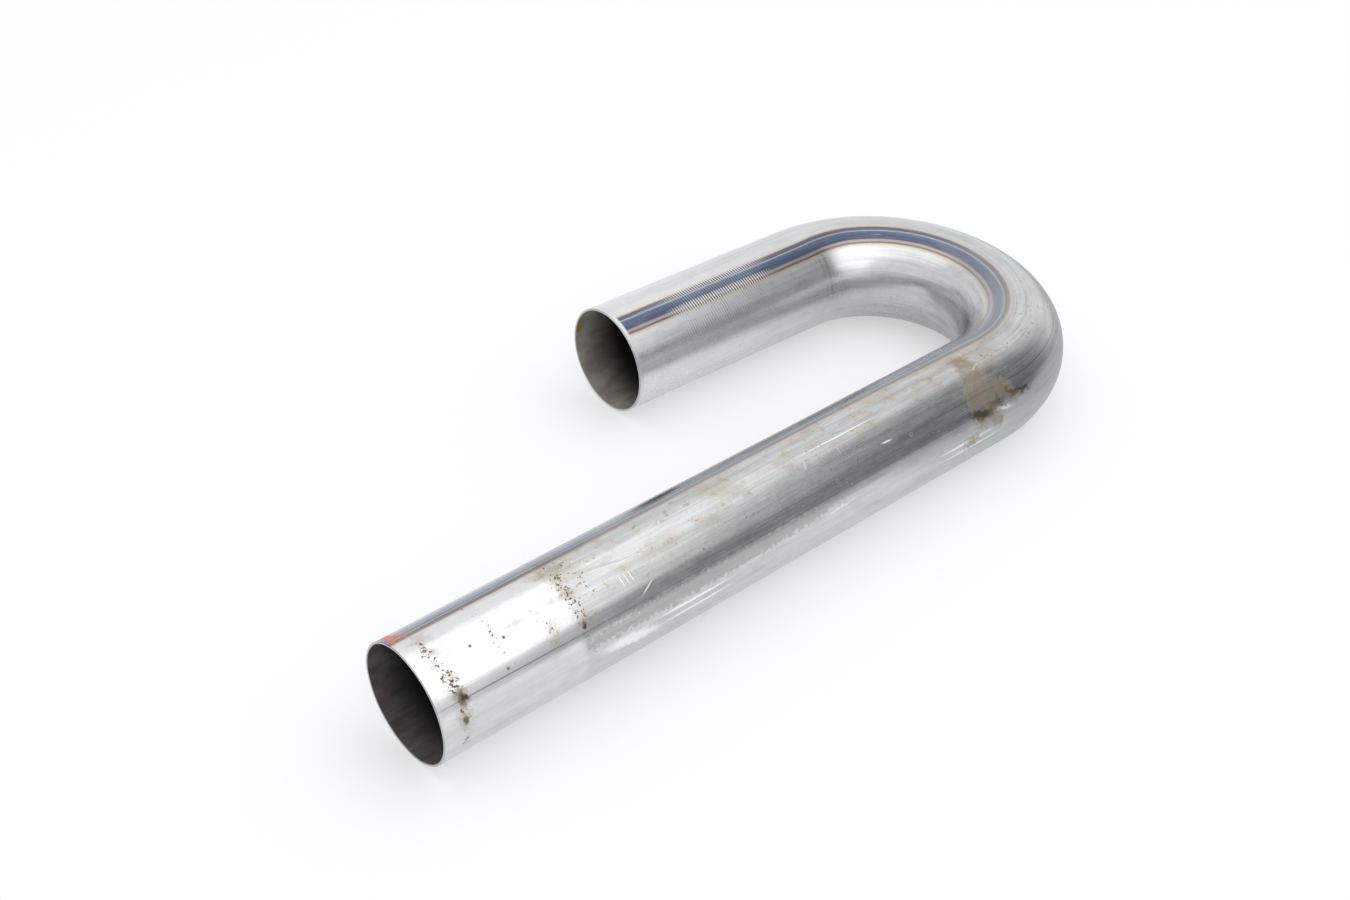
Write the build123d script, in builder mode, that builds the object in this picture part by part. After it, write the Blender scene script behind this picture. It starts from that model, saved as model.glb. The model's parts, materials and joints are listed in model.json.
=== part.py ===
from build123d import *
from math import cos, radians, sin
import os

# An exhaust J-bend. One length of seam-welded mild-steel tube is drawn round a die over a
# mandrel, through nearly half a turn, and sawn off with one long leg and one short leg.
# Nothing is joined to it, so it is one piece. It lies on its side, as it rests on a bench:
# the bend is flat, the long leg runs along X, and the bend is at the +X end.

# The tube before it was bent
tube_diameter = 63.5
wall_thickness = 1.25

# The bend and the legs, measured on the tube's centreline. The bend stops short of half a
# turn, because the tube springs back when the die lets go, so the legs spread a little.
bend_radius = 76.0
bend_angle = 178.2
long_leg_length = 394.5
short_leg_length = 151.0

# What bending does to the section. The outside of the bend stretches, so its wall thins and
# it is drawn in towards the centreline. The inside is squeezed, so its wall thickens.
outside_wall = 1.0
inside_wall = 1.65
outside_draw_in = 1.0

# Both come on over the first part of the bend and go again over the last part.
settling_angle = 16.0
settling_steps = 4

# Each side of an out-of-round section is a crown between two shoulders, all arcs, and this
# is how far the crown reaches to either side of the bend's own plane.
crown_half_angle = 45.0

# The sawn ends are brushed, which breaks the sharp edges of the cut.
edge_break = 0.3

# How far the bore's own solid runs past each sawn end before it is cut away
bore_overrun = 2.0

# Angles round the bend's centre, from +X: where each leg meets the bend
long_leg_angle = -90.0
short_leg_angle = long_leg_angle + bend_angle

# The part's box, seen from above with the bend's centre at zero. The short leg leans away
# from the long one by its spring-back, so the edge of its sawn end stands out furthest.
tube_radius = tube_diameter / 2
spring_back = radians(180 - bend_angle)
box_right = bend_radius + tube_radius - outside_draw_in
box_left = -long_leg_length
box_near = -bend_radius - tube_radius
box_far = (bend_radius + tube_radius) * cos(spring_back) + (
    short_leg_length - edge_break
) * sin(spring_back)

# The origin is the middle of that box, on the surface that the tube lies on.
bend_centre = Vector(-(box_left + box_right) / 2, -(box_near + box_far) / 2, tube_radius)
bend_axis = Axis(bend_centre, (0, 0, 1))


def section_plane(angle):
    """The plane that cuts the tube square at an angle round the bend, with x outwards."""
    outward = Vector(cos(radians(angle)), sin(radians(angle)), 0)
    along = Vector(-sin(radians(angle)), cos(radians(angle)), 0)
    return Plane(bend_centre + outward * bend_radius, x_dir=outward, z_dir=along)


def section(angle, half_height, inward_reach, outward_reach):
    """An outline of tangent arcs that reaches less far inwards and outwards than it is high."""
    half = radians(crown_half_angle)
    shoulder_turn = 90 - crown_half_angle
    with BuildSketch(section_plane(angle)) as outline:
        for facing, reach in ((0, outward_reach), (180, inward_reach)):
            flattening = (half_height - reach) / (cos(half) + sin(half) - 1)
            crown_radius = reach + flattening * cos(half)
            shoulder_radius = half_height - flattening * sin(half)
            shoulder_centre = half_height - shoulder_radius
            with BuildLine(Plane.XY.rotated((0, 0, facing))):
                CenterArc((0, -shoulder_centre), shoulder_radius, -90, shoulder_turn)
                CenterArc(
                    (reach - crown_radius, 0),
                    crown_radius,
                    -crown_half_angle,
                    2 * crown_half_angle,
                )
                CenterArc((0, shoulder_centre), shoulder_radius, crown_half_angle, shoulder_turn)
        make_face()
    return outline.sketch


def bent_solid(radius, inward_reach, outward_reach, overrun):
    """What one skin of the tube encloses: round in the legs, and in the bend out of round."""

    def settling_section(angle, share):
        ease = share * share * (3 - 2 * share)
        return section(
            angle,
            radius,
            radius + (inward_reach - radius) * ease,
            radius + (outward_reach - radius) * ease,
        )

    with BuildPart() as body:
        with BuildSketch(section_plane(long_leg_angle)):
            Circle(radius)
        extrude(amount=-long_leg_length - overrun)
        with BuildSketch(section_plane(short_leg_angle)):
            Circle(radius)
        extrude(amount=short_leg_length + overrun)

        # The middle of the bend keeps one section all the way round.
        add(section(long_leg_angle + settling_angle, radius, inward_reach, outward_reach))
        revolve(axis=bend_axis, revolution_arc=bend_angle - 2 * settling_angle)

        # Beside each leg the section settles from round into that one.
        shares = [step / settling_steps for step in range(settling_steps + 1)]
        with BuildLine(Plane(bend_centre)):
            CenterArc((0, 0), bend_radius, long_leg_angle, settling_angle)
        for share in shares:
            add(settling_section(long_leg_angle + settling_angle * share, share))
        sweep(multisection=True)
        with BuildLine(Plane(bend_centre)):
            CenterArc((0, 0), bend_radius, short_leg_angle - settling_angle, settling_angle)
        for share in reversed(shares):
            add(settling_section(short_leg_angle - settling_angle * share, share))
        sweep(multisection=True)
    return body.part


skin = bent_solid(tube_radius, tube_radius, tube_radius - outside_draw_in, 0)
bore_radius = tube_radius - wall_thickness
bore = bent_solid(
    bore_radius,
    tube_radius - inside_wall,
    tube_radius - outside_draw_in - outside_wall,
    bore_overrun,
)

with BuildPart() as j_bend_tube:
    add(skin)
    add(bore, mode=Mode.SUBTRACT)
    sawn_faces = j_bend_tube.faces().filter_by(GeomType.PLANE)
    chamfer(sawn_faces.edges(), edge_break)

j_bend_tube.part.label = "j_bend_tube"
os.makedirs("parts", exist_ok=True)
export_step(j_bend_tube.part, "parts/j_bend_tube.step")
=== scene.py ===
import json
from math import atan2, cos, degrees, pi, radians, sin

import bpy
from mathutils import Matrix, Vector


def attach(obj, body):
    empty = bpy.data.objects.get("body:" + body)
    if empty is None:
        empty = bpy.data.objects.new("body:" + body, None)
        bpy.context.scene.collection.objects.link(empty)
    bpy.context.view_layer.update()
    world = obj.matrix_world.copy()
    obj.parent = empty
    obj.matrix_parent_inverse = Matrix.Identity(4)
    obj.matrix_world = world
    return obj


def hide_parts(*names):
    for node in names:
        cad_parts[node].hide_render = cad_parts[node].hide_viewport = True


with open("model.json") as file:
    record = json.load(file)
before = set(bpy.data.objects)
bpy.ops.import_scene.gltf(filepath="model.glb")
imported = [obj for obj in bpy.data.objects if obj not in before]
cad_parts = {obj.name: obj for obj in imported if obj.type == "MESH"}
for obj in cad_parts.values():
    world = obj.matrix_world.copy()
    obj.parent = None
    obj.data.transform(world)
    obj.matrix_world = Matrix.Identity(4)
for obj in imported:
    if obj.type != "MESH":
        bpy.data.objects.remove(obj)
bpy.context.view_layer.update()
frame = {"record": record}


# The bent tube. One length of seam-welded mild-steel tube, drawn nearly half a turn round a die
# over a mandrel and sawn off square at both ends. Its size and place come from the frame's
# mounts, and its own skin is laid round the same path, with the small marks that bending leaves.
mounts = {mount["name"]: mount for mount in frame["record"]["mounts"]}
long_leg, short_leg = mounts["long_leg_outside"], mounts["short_leg_outside"]
tube_radius = long_leg["dims"]["r_mm"] / 1000
wall = tube_radius - mounts["long_leg_bore"]["dims"]["r_mm"] / 1000
edge_break = 0.0003


def leg_start(leg):
    """Where a straight leg leaves the bend."""
    half = leg["dims"]["length_mm"] / 2000
    return Vector(leg["pos_m"]) - Vector(leg["axis"]) * half


long_start, short_start = leg_start(long_leg), leg_start(short_leg)
spring_back = atan2(short_leg["axis"][1], -short_leg["axis"][0])
bend_angle = pi - spring_back
bend_radius = (short_start.y - long_start.y) / (1 + cos(spring_back))
bend_centre = long_start + Vector((0, bend_radius, 0))
long_length = long_leg["dims"]["length_mm"] / 1000 + edge_break
short_length = short_leg["dims"]["length_mm"] / 1000 + edge_break
bend_length = bend_radius * bend_angle
tube_length = long_length + bend_length + short_length

# In the bend the outside is drawn in and its wall thins, and the inside wall thickens.
outside_draw_in = 0.001
outside_wall = 0.001
inside_wall = 0.00165
settling_angle = radians(16)

# The bending tool chattered on the short leg: fine ribs across the tube, all at one pitch.
chatter_start, chatter_end = 0.664, 0.752
chatter_pitch = 0.00177
chatter_lean = 0.09
chatter_depth = 0.00005


class Wire:
    """One output in a node tree. Sums on it add Math nodes, and node() adds any other kind."""

    def __init__(self, tree, socket=None):
        self.tree, self.socket = tree, socket

    def node(self, kind, settings, inputs, output=0):
        made = self.tree.nodes.new(kind)
        for name, value in settings.items():
            if name == "stops":
                ramp = made.color_ramp
                while len(ramp.elements) < len(value):
                    ramp.elements.new(0.5)
                for element, (position, colour) in zip(ramp.elements, value):
                    element.position = position
                    element.color = colour
            else:
                setattr(made, name, value)
        for key, value in inputs.items():
            for each in value if isinstance(value, list) else [value]:
                if isinstance(each, Wire):
                    self.tree.links.new(each.socket, made.inputs[key])
                else:
                    made.inputs[key].default_value = each
        return Wire(self.tree, made.outputs[output] if made.outputs else None)

    def math(self, operation, *values):
        return self.node("ShaderNodeMath", {"operation": operation}, dict(enumerate(values)))

    def __add__(self, other):
        return self.math("ADD", self, other)

    def __radd__(self, other):
        return self.math("ADD", other, self)

    def __sub__(self, other):
        return self.math("SUBTRACT", self, other)

    def __rsub__(self, other):
        return self.math("SUBTRACT", other, self)

    def __mul__(self, other):
        return self.math("MULTIPLY", self, other)

    def __rmul__(self, other):
        return self.math("MULTIPLY", other, self)

    def __truediv__(self, other):
        return self.math("DIVIDE", self, other)

    def __abs__(self):
        return self.math("ABSOLUTE", self)

    def least(self, other):
        return self.math("MINIMUM", self, other)

    def most(self, other):
        return self.math("MAXIMUM", self, other)

    def rise(self, start, end):
        """Goes smoothly from 0 at start to 1 at end, and stays there."""
        inputs = {0: self, 1: start, 2: end, 3: 0.0, 4: 1.0}
        return self.node("ShaderNodeMapRange", {"interpolation_type": "SMOOTHSTEP"}, inputs)

    def ramp(self, start, end):
        """Goes straight from 0 at start to 1 at end, and stays there."""
        return self.node("ShaderNodeMapRange", {"clamp": True}, {0: self, 1: start, 2: end})

    def between(self, start, end, soft):
        """1 between start and end, with soft edges outside them."""
        return self.rise(start - soft, start) * self.rise(end + soft, end)

    def vector(self, x, y, z):
        return self.node("ShaderNodeCombineXYZ", {}, {0: x, 1: y, 2: z})

    def split(self):
        parts = self.node("ShaderNodeSeparateXYZ", {}, {0: self})
        return [Wire(self.tree, out) for out in parts.socket.node.outputs]

    def noise(self, stretch, detail=2.0, rough=0.5, shift=0.0):
        """Cloudy noise on a vector, 0 to 1, with that many lumps to the metre each way."""
        scaled = self.node("ShaderNodeVectorMath", {"operation": "MULTIPLY"}, {0: self, 1: stretch})
        moved = self.node("ShaderNodeVectorMath", {"operation": "ADD"}, {0: scaled, 1: (shift,) * 3})
        inputs = {"Vector": moved, "Scale": 1.0, "Detail": detail, "Roughness": rough}
        return self.node("ShaderNodeTexNoise", {}, inputs)


def chatter_ribs(along, around):
    """The ribs' height, 0 to 1, and how strongly they show at a place on the skin."""
    phase = (along + around * chatter_lean) * (2 * pi / chatter_pitch)
    crest = 0.5 + 0.5 * phase.math("COSINE", phase)
    turn = around * (1 / tube_radius) * (180 / pi)
    above = turn.between(116.5, 124, 2)
    below = turn.between(99, 104.5, 1.5) * 0.75
    across = turn.between(104, 117, 2) * 0.14
    faint = turn.between(124, 150, 14) * 0.25
    reach = along.between(chatter_start + 0.024, chatter_end - 0.022, 0.024)
    return crest, above.most(below).most(across).most(faint) * reach


def rows_along(share, stretches):
    """Spreads a grid's rows over stretches of the tube, each given as (length, rows)."""
    total = sum(rows for _, rows in stretches)
    place, row = edge_break, 0
    for length, rows in stretches:
        place = place + length * share.ramp(row / total, (row + rows) / total)
        row += rows
    return place


# Each skin is made flat first: X is the place along the tube, Y the turn round it and Z the
# depth below the outer skin. Then all of them are laid round the path together.
tree = bpy.data.node_groups.new("bent tube", "GeometryNodeTree")
tree.is_modifier = True
input_sizes = {
    "Bend radius": bend_radius,
    "Bend angle": bend_angle,
    "Long leg": long_length,
    "Tube radius": tube_radius,
    "Draw-in": outside_draw_in,
    "Chatter depth": chatter_depth,
}
identifiers = {}
for name, value in input_sizes.items():
    made = tree.interface.new_socket(name, in_out="INPUT", socket_type="NodeSocketFloat")
    made.default_value = value
    identifiers[name] = made.identifier
made = tree.interface.new_socket("Sides", in_out="INPUT", socket_type="NodeSocketInt")
identifiers["Sides"] = made.identifier
tree.interface.new_socket("Geometry", in_out="OUTPUT", socket_type="NodeSocketGeometry")
group_input = tree.nodes.new("NodeGroupInput")
size = {out.name: Wire(tree, out) for out in group_input.outputs if out.name}
blank = Wire(tree)


def flat_sheet(rows, lay):
    """A grid whose points go where lay(share along, turn) puts them."""
    sides = size["Sides"] + 1
    grid = blank.node("GeometryNodeMeshGrid", {}, {0: 1.0, 1: 1.0, 2: rows, 3: sides})
    x, y, z = blank.node("GeometryNodeInputPosition", {}, {}).split()
    turn = y * (2 * pi) + pi / 2
    return grid.node("GeometryNodeSetPosition", {}, {0: grid, 2: lay(x + 0.5, turn)})


plain = 0.008
chatter_zone = chatter_end - chatter_start
before_chatter = chatter_start - long_length - bend_length
after_chatter = tube_length - edge_break - chatter_end
outer_stretches = [
    (long_length - edge_break, 84),
    (bend_length, 100),
    (before_chatter, 8),
    (chatter_zone, 400),
    (after_chatter, 8),
]
bore_stretches = [(long_length - edge_break, 40), (bend_length, 60), (before_chatter + chatter_zone + after_chatter, 24)]


def lay_outer(share, turn):
    along = rows_along(share, outer_stretches)
    crest, strength = chatter_ribs(along, turn * tube_radius)
    skin = blank.vector(along, turn.math("COSINE", turn) * 0.03, turn.math("SINE", turn) * 0.03)
    swell = skin.noise((9, 22, 22), shift=3.0).ramp(0.35, 0.75) * 0.00004
    return blank.vector(along, turn, swell + (1 - crest) * strength * size["Chatter depth"])


def lay_bore(share, turn):
    return blank.vector(rows_along(share, bore_stretches), turn, wall)


def lay_cut(share, turn, far_end):
    """The sawn face at one end, with both its edges broken."""
    slope = (abs(share - 0.5) - 1 / 6) * 3
    inwards = slope.most(0.0) * edge_break
    depth = share.ramp(0, 1 / 3) * edge_break + share.ramp(1 / 3, 2 / 3) * (wall - 2 * edge_break)
    depth = depth + share.ramp(2 / 3, 1) * edge_break
    along = tube_length - inwards if far_end else inwards
    return blank.vector(along, turn, depth)


outer_rows = sum(rows for _, rows in outer_stretches) + 1
bore_rows = sum(rows for _, rows in bore_stretches) + 1
outer = flat_sheet(outer_rows, lay_outer)
bore = flat_sheet(bore_rows, lay_bore)
near_cut = flat_sheet(4, lambda share, turn: lay_cut(share, turn, False))
far_cut = flat_sheet(4, lambda share, turn: lay_cut(share, turn, True))
bore_turned = bore.node("GeometryNodeFlipFaces", {}, {0: bore})
near_turned = near_cut.node("GeometryNodeFlipFaces", {}, {0: near_cut})
sheets = outer.node("GeometryNodeJoinGeometry", {}, {0: [outer, bore_turned, near_turned, far_cut]})

# The saw left both ends a little wavy.
along, turn, depth = blank.node("GeometryNodeInputPosition", {}, {}).split()
ring = blank.vector(along * 0.0, turn.math("COSINE", turn), turn.math("SINE", turn))
near_wave = ring.noise((1, 2.2, 2.2), shift=1.0) * along.rise(0.006, 0.0) * 0.0004
far_wave = ring.noise((1, 2.0, 2.0), shift=5.0) * along.rise(tube_length - 0.006, tube_length) * 0.0003
drawn_along = along
along = along + near_wave - far_wave

# The path: a straight leg, the bend, and the other leg.
phi = ((along - size["Long leg"]) / size["Bend radius"]).most(0.0).least(size["Bend angle"])
theta = phi - pi / 2
past = (along - size["Long leg"] - size["Bend radius"] * size["Bend angle"]).most(0.0)
run = past - (size["Long leg"] - along).most(0.0)
out_x, out_y = theta.math("COSINE", theta), theta.math("SINE", theta)
ease = phi.least(size["Bend angle"] - phi).rise(0.0, settling_angle)
outwards = turn.math("COSINE", turn)
thinned = 1 - ease * (1 - outside_wall / wall)
thickened = 1 + ease * (inside_wall / wall - 1)
reach_out = size["Tube radius"] - size["Draw-in"] * ease - depth * thinned
reach_in = size["Tube radius"] - depth * thickened
reach = outwards.most(0.0) * reach_out + outwards.least(0.0) * reach_in
distance = size["Bend radius"] + reach
height = turn.math("SINE", turn) * (size["Tube radius"] - depth)
bent = blank.vector(
    out_x * distance - out_y * run + bend_centre.x,
    out_y * distance + out_x * run + bend_centre.y,
    height + bend_centre.z,
)
place_radius = size["Tube radius"] - depth
place = blank.vector(drawn_along, outwards * place_radius, turn.math("SINE", turn) * place_radius)
placed = sheets.node(
    "GeometryNodeStoreNamedAttribute",
    {"data_type": "FLOAT_VECTOR", "domain": "POINT"},
    {0: sheets, 2: "place_on_tube", 3: place},
)
laid = placed.node("GeometryNodeSetPosition", {}, {0: placed, 2: bent})
welded = laid.node("GeometryNodeMergeByDistance", {}, {0: laid, 2: 0.00002})
smooth = welded.node("GeometryNodeSetShadeSmooth", {"domain": "FACE"}, {0: welded, 2: True})
edge_angle = blank.node("GeometryNodeInputMeshEdgeAngle", {}, {})
corner = edge_angle.math("GREATER_THAN", edge_angle, radians(32))
creased = smooth.node("GeometryNodeSetShadeSmooth", {"domain": "EDGE"}, {0: smooth, 1: corner, 2: False})
real = creased.node("GeometryNodeRealizeInstances", {}, {0: creased})


# The finish. Bare drawn steel with drawing lines along it, a blued line where the seam was
# welded, a dull film where the bending dies held it, and rust, stains, scratches and a dab of
# orange marking paint from handling. It is all painted by place along and around the tube.
steel = bpy.data.materials.new("bare drawn steel")
steel.use_nodes = True
steel.node_tree.nodes.clear()
paint = Wire(steel.node_tree)
skin = paint.node("ShaderNodeAttribute", {"attribute_name": "place_on_tube"}, {}, output=1)
s, side, up = skin.split()
psi = side.math("ARCTAN2", up, side) * (180 / pi)
arc = psi * (tube_radius * pi / 180)
radius = (side * side + up * up).math("SQRT", side * side + up * up)
below = tube_radius - radius
mm = 0.001
degree = tube_radius * pi / 180


def mix(amount, first, second):
    """A colour between two others."""
    return paint.node("ShaderNodeMix", {"data_type": "RGBA"}, {0: amount, 6: first, 7: second}, output=2)


def grey(value, warm=0.0):
    return (value * (1 + warm), value, value * (1 - warm), 1)


flat = paint.vector(s, arc, 0.0)
ragged_shift = skin.node("ShaderNodeTexNoise", {}, {"Vector": skin, "Scale": 420.0, "Detail": 3.0}, output=1)
ragged_shift = ragged_shift.node("ShaderNodeVectorMath", {"operation": "SUBTRACT"}, {0: ragged_shift, 1: (0.5,) * 3})


def ragged_flat(amount):
    """The place on the unrolled skin, shifted about by up to some mm."""
    settings = {"operation": "MULTIPLY_ADD"}
    return flat.node("ShaderNodeVectorMath", settings, {0: ragged_shift, 1: (amount * 5 * mm,) * 2 + (0,), 2: flat})


outlines = {0.0: flat, 0.25: ragged_flat(0.25), 1.0: ragged_flat(1.0), 2.2: ragged_flat(2.2)}


def mark(start, end, half_width, ragged=0.0, soft=0.5):
    """A mark from one (mm along, degrees round) to another, 1 in its middle and 0 outside."""
    s0, w0 = start[0] * mm, start[1] * degree
    s1, w1 = end[0] * mm, end[1] * degree
    reach = ((s1 - s0) ** 2 + (w1 - w0) ** 2) ** 0.5 / 2 + half_width * mm
    inputs = {
        "Vector": outlines[ragged],
        "Location": ((s0 + s1) / 2, (w0 + w1) / 2, 0),
        "Rotation": (0, 0, atan2(w1 - w0, s1 - s0)),
        "Scale": (reach, half_width * mm, 1),
    }
    local = paint.node("ShaderNodeMapping", {"vector_type": "TEXTURE"}, inputs)
    gap = local.node("ShaderNodeVectorMath", {"operation": "LENGTH"}, {0: local}, output=1)
    return gap.rise(1 + soft, 1 - soft)


def any_of(masks):
    """Where any of several masks is on."""
    joined = masks[0]
    for one in masks[1:]:
        joined = joined.most(one)
    return joined


# Bare metal: fine lines along the tube from drawing, and soft clouds from handling. The first
# part of the long leg is clean, and beyond a ragged border a dull film lies on the skin.
fine_lines = skin.noise((28, 2400, 2400), 2.0)
middle_lines = skin.noise((18, 950, 950), 2.0, shift=31.0)
broad_lines = skin.noise((9, 330, 330), 2.0, shift=2.0)
smudges = skin.noise((55, 210, 210), 4.0, 0.6, shift=33.0)
clouds = skin.noise((45, 60, 60), 3.0, shift=4.0)
blotches = skin.noise((150, 190, 190), 4.0, 0.6, shift=6.0)
grain = skin.noise((900, 2400, 2400), 2.0, shift=8.0)
ragged_border = s + (skin.noise((260, 160, 160), 3.0, shift=9.0) - 0.5) * 16 * mm
film_along = [(0, 0.0), (80, 0.0), (85, 0.22), (150, 0.22), (230, 0.23), (310, 0.28), (385, 0.29),
              (450, 0.24), (520, 0.21), (600, 0.15), (650, 0.14), (740, 0.05), (782, 0.02)]
film_share = ragged_border / tube_length
film_stops = [(place * mm / tube_length, grey(value)) for place, value in film_along]
film = film_share.node("ShaderNodeValToRGB", {"stops": film_stops}, {0: film_share})
film = film * (0.6 + 0.8 * clouds)
low_side = (psi + (clouds - 0.5) * 14).rise(25, 13) * (1 - s.rise(0.44, 0.50))
film = film + (0.20 * s.rise(0.080, 0.084) + 0.12 * s.rise(0.084, 0.080) - film) * low_side
lines = 0.35 * fine_lines + 0.50 * middle_lines + 0.50 * broad_lines
lines = 1 + (lines - 0.675) * (0.30 + 2.6 * film * (1 - 0.7 * low_side) * (1 - 0.45 * s.rise(0.38, 0.48)))
smears = 1 + (smudges - 0.5) * (0.16 + 2.0 * film) + (blotches - 0.5) * 0.16
tone = lines * smears * (1 - film) * (0.96 + 0.08 * clouds)
steel_colour = mix(tone, grey(0.0), grey(0.75, -0.012))
steel_colour = mix(smudges.rise(0.45, 0.75) * film * 1.2, steel_colour, (0.44, 0.43, 0.385, 1))
burnished = psi.between(124, 176, 8) * s.between(0.500, 0.627, 0.012)
short_side = s.rise(0.45, 0.64)
bare_rough = 0.12 + 0.10 * blotches + 0.18 * film + 0.06 * broad_lines + 0.07 * short_side - 0.03 * burnished

film_patch = mark((70, 16), (250, 20), 4.2, ragged=2.2, soft=0.25) * s.rise(0.080, 0.084)
film_patch = film_patch.most(mark((92, 47), (196, 44), 6.5, ragged=2.2, soft=0.9) * 0.6)
steel_colour = mix(film_patch * 0.55, steel_colour, (0.30, 0.30, 0.29, 1))

# Yellowish drying stains, mostly on the upper side of the long leg
stain_field = (blotches * 0.6 + clouds * 0.5).rise(0.53, 0.68)
stain_marks = any_of([
    mark((78, 100), (96, 78), 6, ragged=2.2),
    mark((180, 92), (196, 78), 5, ragged=2.2),
    mark((300, 98), (318, 88), 4, ragged=2.2),
    mark((356, 94), (392, 78), 5, ragged=2.2),
    mark((70, 50), (66, 30), 3, ragged=2.2),
])
upper_side = psi.between(66, 98, 12) * s.between(0.06, 0.40, 0.03)
stains = (stain_field * upper_side * 0.55).most(stain_marks * (0.40 + 0.60 * stain_field))
steel_colour = mix(stains * 0.7, steel_colour, (0.42, 0.335, 0.20, 1))

# The weld's heat tint: straw at its edges, then brown and purple, and blue in the middle
band_low, band_high = 94, 130
drift = 4.1 - 5.9 * s.rise(0.24, 0.47) + 2.0 * s.rise(0.60, 0.66)
wander = (skin.noise((60, 5, 5), 2.0, shift=12.0) - 0.5) * 1.2
band_place = ((psi - drift - wander) - band_low) * (1 / (band_high - band_low))
tints = [
    (94.5, (0.50, 0.44, 0.32, 0.0)),
    (98.4, (0.50, 0.42, 0.28, 0.30)),
    (99.9, (0.40, 0.26, 0.13, 0.75)),
    (100.7, (0.20, 0.12, 0.11, 0.92)),
    (101.8, (0.125, 0.135, 0.18, 0.95)),
    (103.8, (0.105, 0.12, 0.165, 0.98)),
    (105.0, (0.14, 0.125, 0.15, 0.94)),
    (106.3, (0.36, 0.36, 0.39, 0.80)),
    (107.3, (0.12, 0.145, 0.22, 0.96)),
    (109.5, (0.088, 0.128, 0.205, 1.0)),
    (114.5, (0.072, 0.105, 0.175, 1.0)),
    (116.8, (0.085, 0.088, 0.145, 1.0)),
    (117.9, (0.15, 0.08, 0.09, 0.96)),
    (119.0, (0.27, 0.255, 0.28, 0.84)),
    (121.2, (0.26, 0.25, 0.27, 0.80)),
    (122.4, (0.15, 0.09, 0.10, 0.94)),
    (123.3, (0.22, 0.13, 0.08, 0.88)),
    (124.5, (0.48, 0.32, 0.15, 0.60)),
    (126.8, (0.50, 0.43, 0.28, 0.20)),
    (129.5, (0.50, 0.46, 0.36, 0.0)),
]
stops = [((turn - band_low) / (band_high - band_low), colour) for turn, colour in tints]
band = band_place.node("ShaderNodeValToRGB", {"stops": stops}, {0: band_place})
pale_blue = psi.between(115, 125, 3) * s.rise(0.50, 0.38) * 0.55
band_alpha = Wire(steel.node_tree, band.socket.node.outputs[1])
brushed_end = s.rise(tube_length - 0.0032, tube_length - 0.0022)
band_strength = 0.88 - 0.22 * s.rise(0.08, 0.16) - 0.06 * s.rise(0.33, 0.40) + 0.40 * s.rise(0.44, 0.57)
band_strength = band_strength * (1 - brushed_end * 0.9) * (0.60 + 0.45 * fine_lines + 0.35 * smudges)

# The ribs' tops are rubbed bright, across the band and faintly below it. Their valleys get painted shade, a dark
# colour laid into each dip.
crest, rib_strength = chatter_ribs(s, arc)
rubbed = crest.rise(0.35, 0.80) * rib_strength * (0.5 + 0.9 * grain)
rib_valley_shade = crest.rise(0.45, 0.10) * rib_strength
band_mask = band_alpha * band_strength * (1 - 0.85 * rubbed)
steel_colour = mix(band_mask, steel_colour, mix(pale_blue, band, (0.40, 0.44, 0.52, 1)))
# Painted shade: the ribs' valleys are darkened in the colour.
steel_colour = mix(rib_valley_shade * 0.75, steel_colour, (0.085, 0.075, 0.085, 1))
steel_colour = mix(rubbed * 0.6, steel_colour, grey(0.80))

# Lines and scuffs: a dark die line along the long leg, and bright scratches
die_line = any_of([
    mark((0, 30.5), (84, 29), 0.32),
    mark((84, 29), (230, 27), 0.22),
    mark((230, 28), (330, 27), 0.16),
    mark((322, 45), (466, 44.6), 0.24),
])
die_line = die_line * (1 - 0.5 * s.between(0.12, 0.30, 0.03)) * (0.4 + 0.8 * broad_lines)
steel_colour = mix(die_line * 0.8, steel_colour, (0.10, 0.10, 0.11, 1))
scuffs = any_of([
    mark((128, 4.5), (169, 4.0), 0.75, ragged=0.25),
    mark((131, -4.5), (170, -4.0), 0.7, ragged=0.25),
    mark((97, 1), (121, -4), 3.2, ragged=1.0),
    mark((330, 5), (368, 4), 0.9, ragged=0.25),
    mark((332, -4), (372, -4), 0.8, ragged=0.25),
    mark((247, 76), (293, 75.5), 0.26),
    mark((289, 48.5), (295, 48), 0.5, ragged=0.25),
    mark((111.8, 57), (112.4, 48), 0.3),
    mark((114.8, 57), (115.4, 48), 0.3),
    mark((117.6, 57), (118.2, 48), 0.3),
    mark((120, 34), (127, 41), 0.35),
    mark((238, 62), (240, 70), 0.2) * 0.6,
    mark((262, 58), (262.5, 66), 0.15) * 0.6,
    mark((373, 22), (384, 19), 1.1, ragged=1.0),
    mark((371, 70), (375, 73), 0.8, ragged=0.25),
    mark((242, 12), (258, 13), 0.7, ragged=1.0) * 0.5,
])
hair = skin.noise((14, 3400, 3400), 1.0, shift=14.0).rise(0.66, 0.74)
hair = hair * skin.noise((30, 90, 90), 1.0, shift=15.0).rise(0.52, 0.62)
scuffs = scuffs.most(hair * 0.5)
steel_colour = mix(scuffs, steel_colour, grey(0.95))
wiper_lines = any_of([
    mark((630.5, 172), (629.5, 118), 1.1, ragged=0.25, soft=0.9) * 0.30,
    mark((634.5, 168), (633.5, 112), 0.5, ragged=0.25, soft=0.8) * 0.28,
    mark((626, 160), (625, 128), 0.9, ragged=0.25, soft=0.9) * 0.12,
])
steel_colour = mix(wiper_lines, steel_colour, (0.20, 0.195, 0.18, 1))
thin_scratch = mark((98, 76), (123, 68), 0.2).most(mark((98, 77.5), (121, 70), 0.12))
steel_colour = mix(thin_scratch * 0.55, steel_colour, (0.20, 0.20, 0.20, 1))

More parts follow.
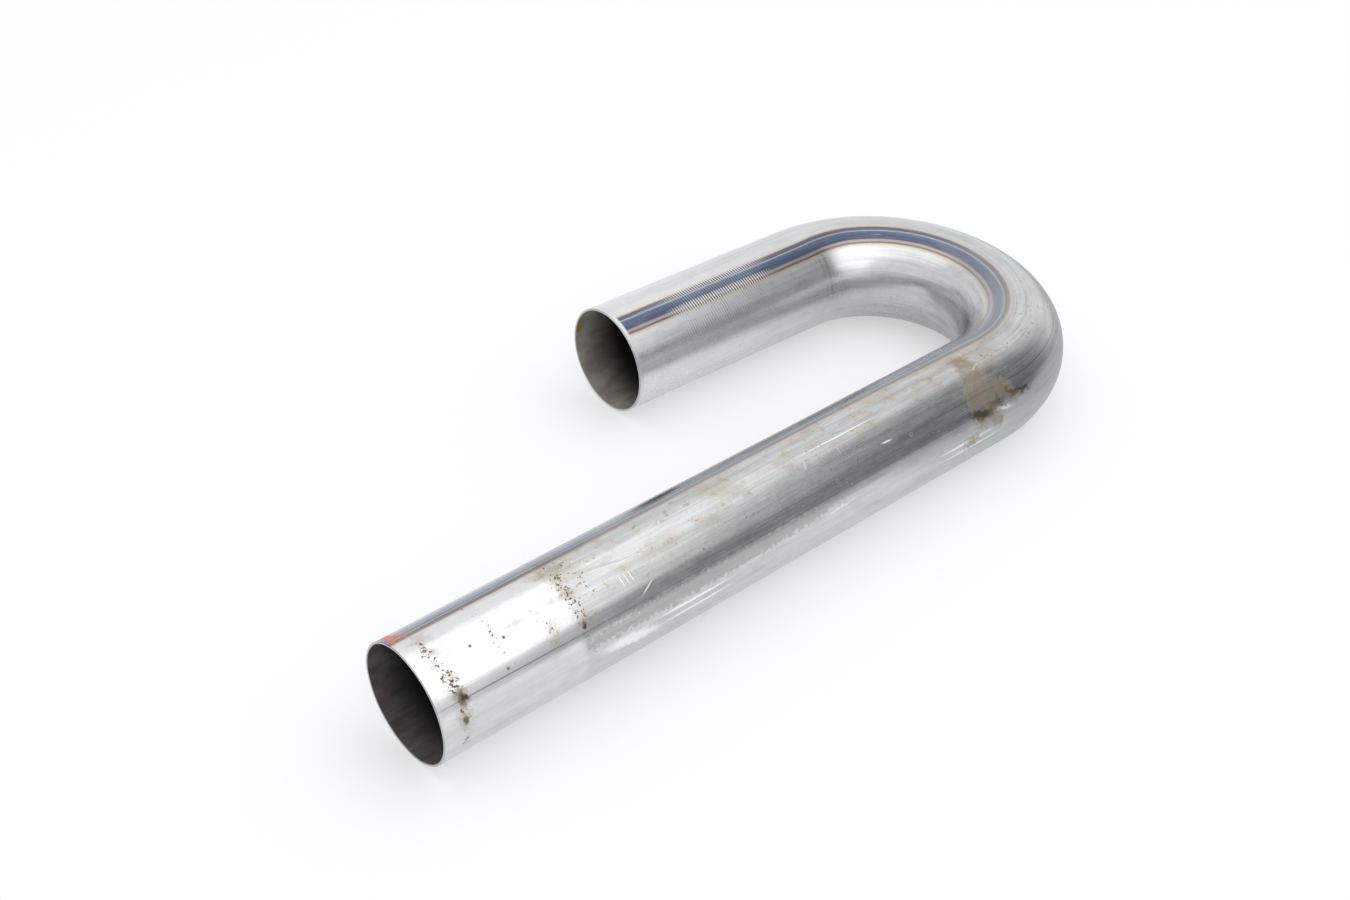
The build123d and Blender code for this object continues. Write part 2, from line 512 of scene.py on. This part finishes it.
# Rust: dots in rows where wet straps or fingers touched it, some run together
specks = skin.noise((620, 620, 620), 4.0, 0.65, shift=35.0)
rust_rows = any_of([
    mark((11, 98), (10.5, 66), 3.2, soft=0.8),
    mark((10.5, 66), (13.5, 34), 3.4, soft=0.8) * 1.2,
    mark((14, 30), (12.5, 8), 3.4, soft=0.8),
    mark((12, 2), (13, -20), 2.4, soft=0.8) * 0.8,
    mark((40, 100), (42, 34), 3.0, soft=0.9) * 0.75,
    mark((84, 106), (85, 28), 4.2, soft=0.9),
    mark((93, 98), (95, 58), 3.4, soft=0.9) * 0.8,
    mark((66, 60), (68, 34), 3.5, soft=0.9) * 0.8,
    mark((222, 50), (256, 36), 7.0, soft=0.9) * 0.40,
    mark((120, 60), (210, 34), 9.0, soft=0.9) * 0.25,
    mark((262, 60), (345, 34), 9.0, soft=0.9) * 0.25,
    mark((378, 84), (392, 74), 6.0, soft=0.9) * 0.5,
    mark((404, 76), (426, 68), 6.0, soft=0.9) * 0.4,
    mark((448, 92), (456, 86), 4.0, soft=0.9) * 0.3,
])
rust_haze = any_of([
    mark((12, 96), (12.5, 30), 4.6, ragged=2.2, soft=0.9) * 0.55,
    mark((13, 24), (13, 6), 4.0, ragged=2.2, soft=0.9) * 0.5,
    mark((84, 104), (85, 32), 4.0, ragged=2.2, soft=0.9) * 0.35,
])
rust_haze = rust_haze * blotches.rise(0.35, 0.62)
flecks = (specks * 0.5 + blotches * 0.5).rise(0.555, 0.625) * psi.between(42, 100, 10) * s.between(0.09, 0.47, 0.02)
rust_haze = rust_haze.most(flecks * 0.55)
steel_colour = mix(rust_haze, steel_colour, (0.33, 0.265, 0.155, 1))
rust_from = 0.69 - 0.15 * rust_rows
dots = (specks - rust_from).rise(0.0, 0.035) * rust_rows.rise(0.02, 0.10)
rust_spots = any_of([
    mark((14.4, 30), (14.0, 34), 3.0, ragged=1.0),
    mark((12.8, 14), (13.2, 11), 1.6, ragged=1.0),
    mark((84, 33.5), (84.2, 36), 1.7, ragged=1.0),
    mark((40, 34.5), (40, 34.5), 0.9, ragged=0.25),
    mark((252, 37), (252, 38), 0.75, ragged=0.25),
    mark((309, 43), (309.4, 43), 0.85, ragged=0.25),
    mark((349, 55), (349, 55), 0.8, ragged=0.25),
    mark((29, 66), (29, 66), 0.7, ragged=0.25),
    mark((45, 59), (45, 59), 0.8, ragged=0.25),
])
rust = dots.most(rust_spots)
residue_shape = any_of([
    mark((368, 78), (370, 52), 8, ragged=2.2, soft=0.35),
    mark((366, 52), (364, 30), 11, ragged=2.2, soft=0.35),
    mark((378, 46), (388, 30), 5, ragged=2.2, soft=0.5),
    mark((372, 20), (374, 11), 5, ragged=2.2, soft=0.4) * 0.8,
    mark((350, 2), (356, 2), 4, ragged=2.2, soft=0.5) * 0.7,
])
drips = skin.noise((1500, 1150, 1150), 3.0, 0.75, shift=19.0)
residue = residue_shape.rise(0.05, 0.95) * (0.30 + 0.62 * (drips * 0.6 + blotches * 0.4).rise(0.40, 0.58))
residue_dark = any_of([
    mark((356, 28), (367, 23), 2.6, ragged=1.0, soft=0.6),
    mark((385, 33), (399, 27), 2.0, ragged=2.2, soft=0.6) * 0.8,
    mark((368, 27), (380, 30), 2.2, ragged=2.2, soft=0.8) * 0.5,
])
rust_colour = mix(grain.rise(0.35, 0.65), (0.075, 0.042, 0.018, 1), (0.23, 0.125, 0.05, 1))
residue_colour = mix(drips.rise(0.35, 0.62), (0.15, 0.105, 0.055, 1), (0.33, 0.235, 0.13, 1))
steel_colour = mix(residue, steel_colour, residue_colour)
steel_colour = mix(residue_dark * 0.85, steel_colour, (0.045, 0.038, 0.028, 1))
steel_colour = mix(rust * 0.92, steel_colour, rust_colour)
rust_core = mark((14.8, 31), (15, 33), 1.5, ragged=1.0).most(mark((84.2, 34), (84.2, 34), 1.0, ragged=0.25))
steel_colour = mix(rust_core * 0.85, steel_colour, (0.04, 0.028, 0.018, 1))

# A dab of orange marking paint by the long leg's open end, rubbed thin
dab = any_of([
    mark((3.5, 122), (9, 110), 1.5, ragged=1.0),
    mark((5, 132), (3, 116), 2.2, ragged=1.0) * 0.8,
    mark((2, 104), (4.5, 112), 0.9, ragged=0.25) * 0.9,
])
dab = dab * (0.45 + 0.8 * skin.noise((500, 700, 700), 2.0, shift=21.0))
steel_colour = mix(dab.least(1.0), steel_colour, (0.85, 0.17, 0.05, 1))

# Both ends: a narrow brushed strip, and a bright cut face with broken edges
end_gap = s.least(tube_length - s)
strip = end_gap.rise(0.0030, 0.0022)
brushing = skin.noise((5200, 160, 160), 2.0, shift=23.0)
steel_colour = mix(brushed_end * 0.6, steel_colour, grey(0.66))
edge_line = end_gap.between(0.0001, 0.00026, 0.0001)
steel_colour = mix(edge_line * 0.45, steel_colour, (0.10, 0.09, 0.09, 1))
cut_face = end_gap.rise(0.00012, 0.00004)

# The bore keeps its dull mill scale, paler at the short end and rusty along the bottom near the ends. Away from each
# mouth its colour is painted darker, to near black, as painted shade deep in the bore.
inside = below.rise(wall - 0.00012, wall - 0.00004) * end_gap.rise(0.0, 0.0002)
scale_clouds = skin.noise((60, 130, 130), 4.0, 0.6, shift=25.0)
scale_lines = skin.noise((6, 420, 420), 2.0, shift=27.0)
short_end = s.rise(0.5, 0.6)
# Painted shade: this share is 1 at each mouth and 0 deeper in, and where it is 0 the bore's colour is near black.
unshaded_near_mouth = (end_gap / (0.025 + 0.009 * short_end)).rise(1.0, 0.0)
mouth_colour = mix(scale_clouds.rise(0.3, 0.7), (0.085, 0.072, 0.074, 1), (0.17, 0.16, 0.16, 1))
mouth_colour = mix(short_end, mouth_colour, mix(scale_clouds.rise(0.3, 0.7), (0.30, 0.285, 0.225, 1), (0.46, 0.45, 0.41, 1)))
scale_and_shade_colour = mix(unshaded_near_mouth, (0.008, 0.007, 0.007, 1), mouth_colour)
scale_and_shade_colour = mix(scale_lines.rise(0.45, 0.75) * unshaded_near_mouth * 0.2, scale_and_shade_colour, (0.26, 0.25, 0.23, 1))
bottom = psi.between(-140, -62, 20) * end_gap.rise(0.012, 0.002) * (1 - 0.8 * short_end)
bore_rust = bottom * (scale_clouds * 0.5 + blotches * 0.6).rise(0.50, 0.66)
ochre = mark((tube_length / mm - 2, 24), (tube_length / mm - 3, 8), 2.6, ragged=1.0) * inside
scale_and_shade_colour = mix(bore_rust * 0.75, scale_and_shade_colour, (0.13, 0.07, 0.035, 1))
scale_and_shade_colour = mix(ochre * 0.8, scale_and_shade_colour, (0.34, 0.21, 0.07, 1))
steel_colour = mix(cut_face, steel_colour, grey(0.52, 0.01))

# How metallic, how rough and how raised each of those is
dull = any_of([rust, residue * 0.45, dab, rust_core]).least(1.0)
metallic = (1 - dull * 0.95) * (1 - stains * 0.25)
roughness = bare_rough + 0.10 * strip + 0.25 * scuffs + 0.10 * rubbed
roughness = roughness + (0.75 - roughness) * dull
relief_mm = fine_lines * 0.004 + middle_lines * 0.012 + broad_lines * 0.045 + grain * 0.0015
relief_mm = relief_mm + strip * brushing * 0.006 + rust * 0.02 + residue * 0.008 - scuffs * 0.004
relief_mm = relief_mm - die_line * 0.012 + smudges * 0.02
scale_relief_mm = scale_clouds * 0.03 + scale_lines * 0.02
bump = paint.node(
    "ShaderNodeBump",
    {},
    {"Strength": 1.0, "Distance": 0.001, "Height": relief_mm + (scale_relief_mm - relief_mm) * inside},
)
finish_inputs = {
    "Base Color": mix(inside, steel_colour, scale_and_shade_colour),
    "Metallic": metallic * (1 - inside * 0.85),
    "Roughness": roughness + (0.78 - 0.28 * unshaded_near_mouth - roughness) * inside,
    "Normal": bump,
    "Specular IOR Level": 0.4,
}
finish = paint.node("ShaderNodeBsdfPrincipled", {}, finish_inputs)
finish.node("ShaderNodeOutputMaterial", {}, {0: finish})

# The tree ends in this finish, and its result becomes one plain mesh in the CAD node's place.
finished = real.node("GeometryNodeSetMaterial", {}, {0: real, 2: steel})
finished.node("NodeGroupOutput", {}, {0: finished})
maker = bpy.data.objects.new("tube maker", bpy.data.meshes.new("tube maker"))
bpy.context.scene.collection.objects.link(maker)
modifier = maker.modifiers.new("bent tube", "NODES")
modifier.node_group = tree
for name, value in input_sizes.items():
    modifier[identifiers[name]] = value
modifier[identifiers["Sides"]] = 112
depsgraph = bpy.context.evaluated_depsgraph_get()
tube_mesh = bpy.data.meshes.new_from_object(maker.evaluated_get(depsgraph), depsgraph=depsgraph)
tube_mesh.name = "bent_tube"
tube = bpy.data.objects.new("bent_tube", tube_mesh)
bpy.context.scene.collection.objects.link(tube)
bpy.data.objects.remove(maker)
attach(tube, "root")
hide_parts("j_bend_tube")


# The floor is one pale sheet. To the camera and in reflections it shows white, and it keeps the
# tube's soft shadow.
def staged_plane(name, half, material, matrix=None):
    """A square sheet, half that wide each way, which isn't part of the object."""
    corners = [(-half, -half, 0), (half, -half, 0), (half, half, 0), (-half, half, 0)]
    mesh = bpy.data.meshes.new(name)
    mesh.from_pydata(corners, [], [(0, 1, 2, 3)])
    sheet = bpy.data.objects.new(name, mesh)
    sheet.data.materials.append(material)
    if matrix:
        sheet.matrix_world = matrix
    bpy.context.scene.collection.objects.link(sheet)
    return sheet


def plain_material(name):
    material = bpy.data.materials.new(name)
    material.use_nodes = True
    material.node_tree.nodes.clear()
    return material, Wire(material.node_tree)


def seen_as_background(paint):
    """1 for the rays that show the background: from the camera, off gloss and through glass."""
    path = paint.node("ShaderNodeLightPath", {}, {}).socket.node.outputs
    rays = [Wire(paint.tree, path[name]) for name in ("Is Camera Ray", "Is Glossy Ray", "Is Transmission Ray")]
    return rays[0].most(rays[1]).most(rays[2])


white = (1, 1, 1, 1)
floor_material, floor_paint = plain_material("pale floor")
lit = floor_paint.node("ShaderNodeBsdfDiffuse", {}, {"Color": (0.955, 0.96, 0.965, 1)})
glow = floor_paint.node("ShaderNodeEmission", {}, {"Color": white, "Strength": 1.0})
share = seen_as_background(floor_paint) * 0.45
floor_shader = floor_paint.node("ShaderNodeMixShader", {}, {0: share, 1: lit, 2: glow})
floor_paint.node("ShaderNodeOutputMaterial", {}, {0: floor_shader})
staged_plane("floor", 9.0, floor_material)

# A studio's plain light: an even white room, one softbox behind and one to the side.
world = bpy.data.worlds.new("white room")
bpy.context.scene.world = world
world.use_nodes = True
world.node_tree.nodes.clear()
room = Wire(world.node_tree)
shown = room.node("ShaderNodeBackground", {}, {"Color": white, "Strength": 1.0})
light = room.node("ShaderNodeBackground", {}, {"Color": (0.97, 0.985, 1.0, 1), "Strength": 0.88})
sky = room.node("ShaderNodeMixShader", {}, {0: seen_as_background(room), 1: light, 2: shown})
room.node("ShaderNodeOutputWorld", {}, {0: sky})


def direction(azimuth, elevation):
    """The way to a light, by degrees round from +X and degrees up."""
    a, e = radians(azimuth), radians(elevation)
    return Vector((cos(a) * cos(e), sin(a) * cos(e), sin(e)))


def softbox(name, azimuth, elevation, distance, width, radiance):
    lamp = bpy.data.lights.new(name, "AREA")
    lamp.shape = "SQUARE"
    lamp.size = width
    lamp.energy = radiance * pi * width * width
    way = direction(azimuth, elevation)
    box = bpy.data.objects.new(name, lamp)
    box.matrix_world = Matrix.Translation(way * distance) @ way.to_track_quat("Z", "Y").to_matrix().to_4x4()
    bpy.context.scene.collection.objects.link(box)


softbox("overhead softbox", 0, 88, 2.2, 2.7, 0.45)
softbox("side softbox", -78, 48, 1.9, 1.4, 0.60)

# Grey card curves round the set, dark to one side and low down behind the camera, and a grey
# sheet lies on the floor. Only gloss shows them: they give the bare steel a room to reflect.
card_distance, card_grey, dark_side = 4.0, 0.22, -20


def card_material(name, mask):
    """Grey where the mask says, and clear elsewhere."""
    material, paint = plain_material(name)
    place = paint.node("ShaderNodeTexCoord", {}, {}, output=3)
    clear = paint.node("ShaderNodeBsdfTransparent", {}, {})
    card = paint.node("ShaderNodeEmission", {}, {"Color": grey(card_grey, -0.03), "Strength": 1.0})
    mixed = paint.node("ShaderNodeMixShader", {}, {0: mask(*place.split()), 1: clear, 2: card})
    paint.node("ShaderNodeOutputMaterial", {}, {0: mixed})
    return material


def round_mask(x, y, z):
    turn = y.math("ARCTAN2", y, x) * (180 / pi)
    lift = (z / card_distance).math("ARCTANGENT", z / card_distance) * (180 / pi)
    left = (turn - lift * lift * 0.012).rise(-78, -62)
    side = left * (turn - lift * 0.25).rise(2, -30) * lift.rise(63, 45)
    behind = abs(turn).rise(95, 115) * lift.rise(26, 2)
    return side.most(behind)


def lying_mask(x, y, z):
    way = direction(dark_side, 0)
    ahead = x * way.x + y * way.y
    across = abs(y * way.x - x * way.y)
    return ahead.rise(0.04, 0.30) * (across / ahead.most(0.02)).rise(1.05, 0.6) * 0.50


round_mesh = bpy.data.meshes.new("curved card")
steps, card_height = 96, 9.0
corners = [direction(360 * step / steps, 0) * card_distance for step in range(steps)]
corners += [corner + Vector((0, 0, card_height)) for corner in corners]
quads = [(i, (i + 1) % steps, steps + (i + 1) % steps, steps + i) for i in range(steps)]
round_mesh.from_pydata(corners, [], quads)
round_mesh.materials.append(card_material("curved grey card", round_mask))
round_card = bpy.data.objects.new("curved card", round_mesh)
bpy.context.scene.collection.objects.link(round_card)
lying_card = staged_plane("lying card", 3.5, card_material("lying grey card", lying_mask))
lying_card.location.z = 0.0004
for card in (round_card, lying_card):
    card.visible_camera = False
    card.visible_diffuse = False
    card.visible_transmission = False
    card.visible_shadow = False

# The camera looks down on the tube from beyond the open ends, tipped a little to one side.
camera_data = bpy.data.cameras.new("camera")
camera_data.sensor_width = 36.0
camera_data.lens = 46.329
camera = bpy.data.objects.new("camera", camera_data)
bpy.context.scene.collection.objects.link(camera)
bpy.context.scene.camera = camera
camera_place = Vector((-0.533372, -0.570013, 0.607115))
camera_target = Vector((-0.029763, -0.011743, 0.03175))
camera_tip = 0.032909
back = (camera_place - camera_target).normalized()
level = (-back).cross(Vector((0, 0, 1))).normalized()
upright = level.cross(-back)
right = level * cos(camera_tip) + upright * sin(camera_tip)
above = upright * cos(camera_tip) - level * sin(camera_tip)
pose = Matrix((right, above, back)).transposed().to_4x4()
pose.translation = camera_place
camera.matrix_world = pose
bpy.context.scene.view_settings.view_transform = "Standard"
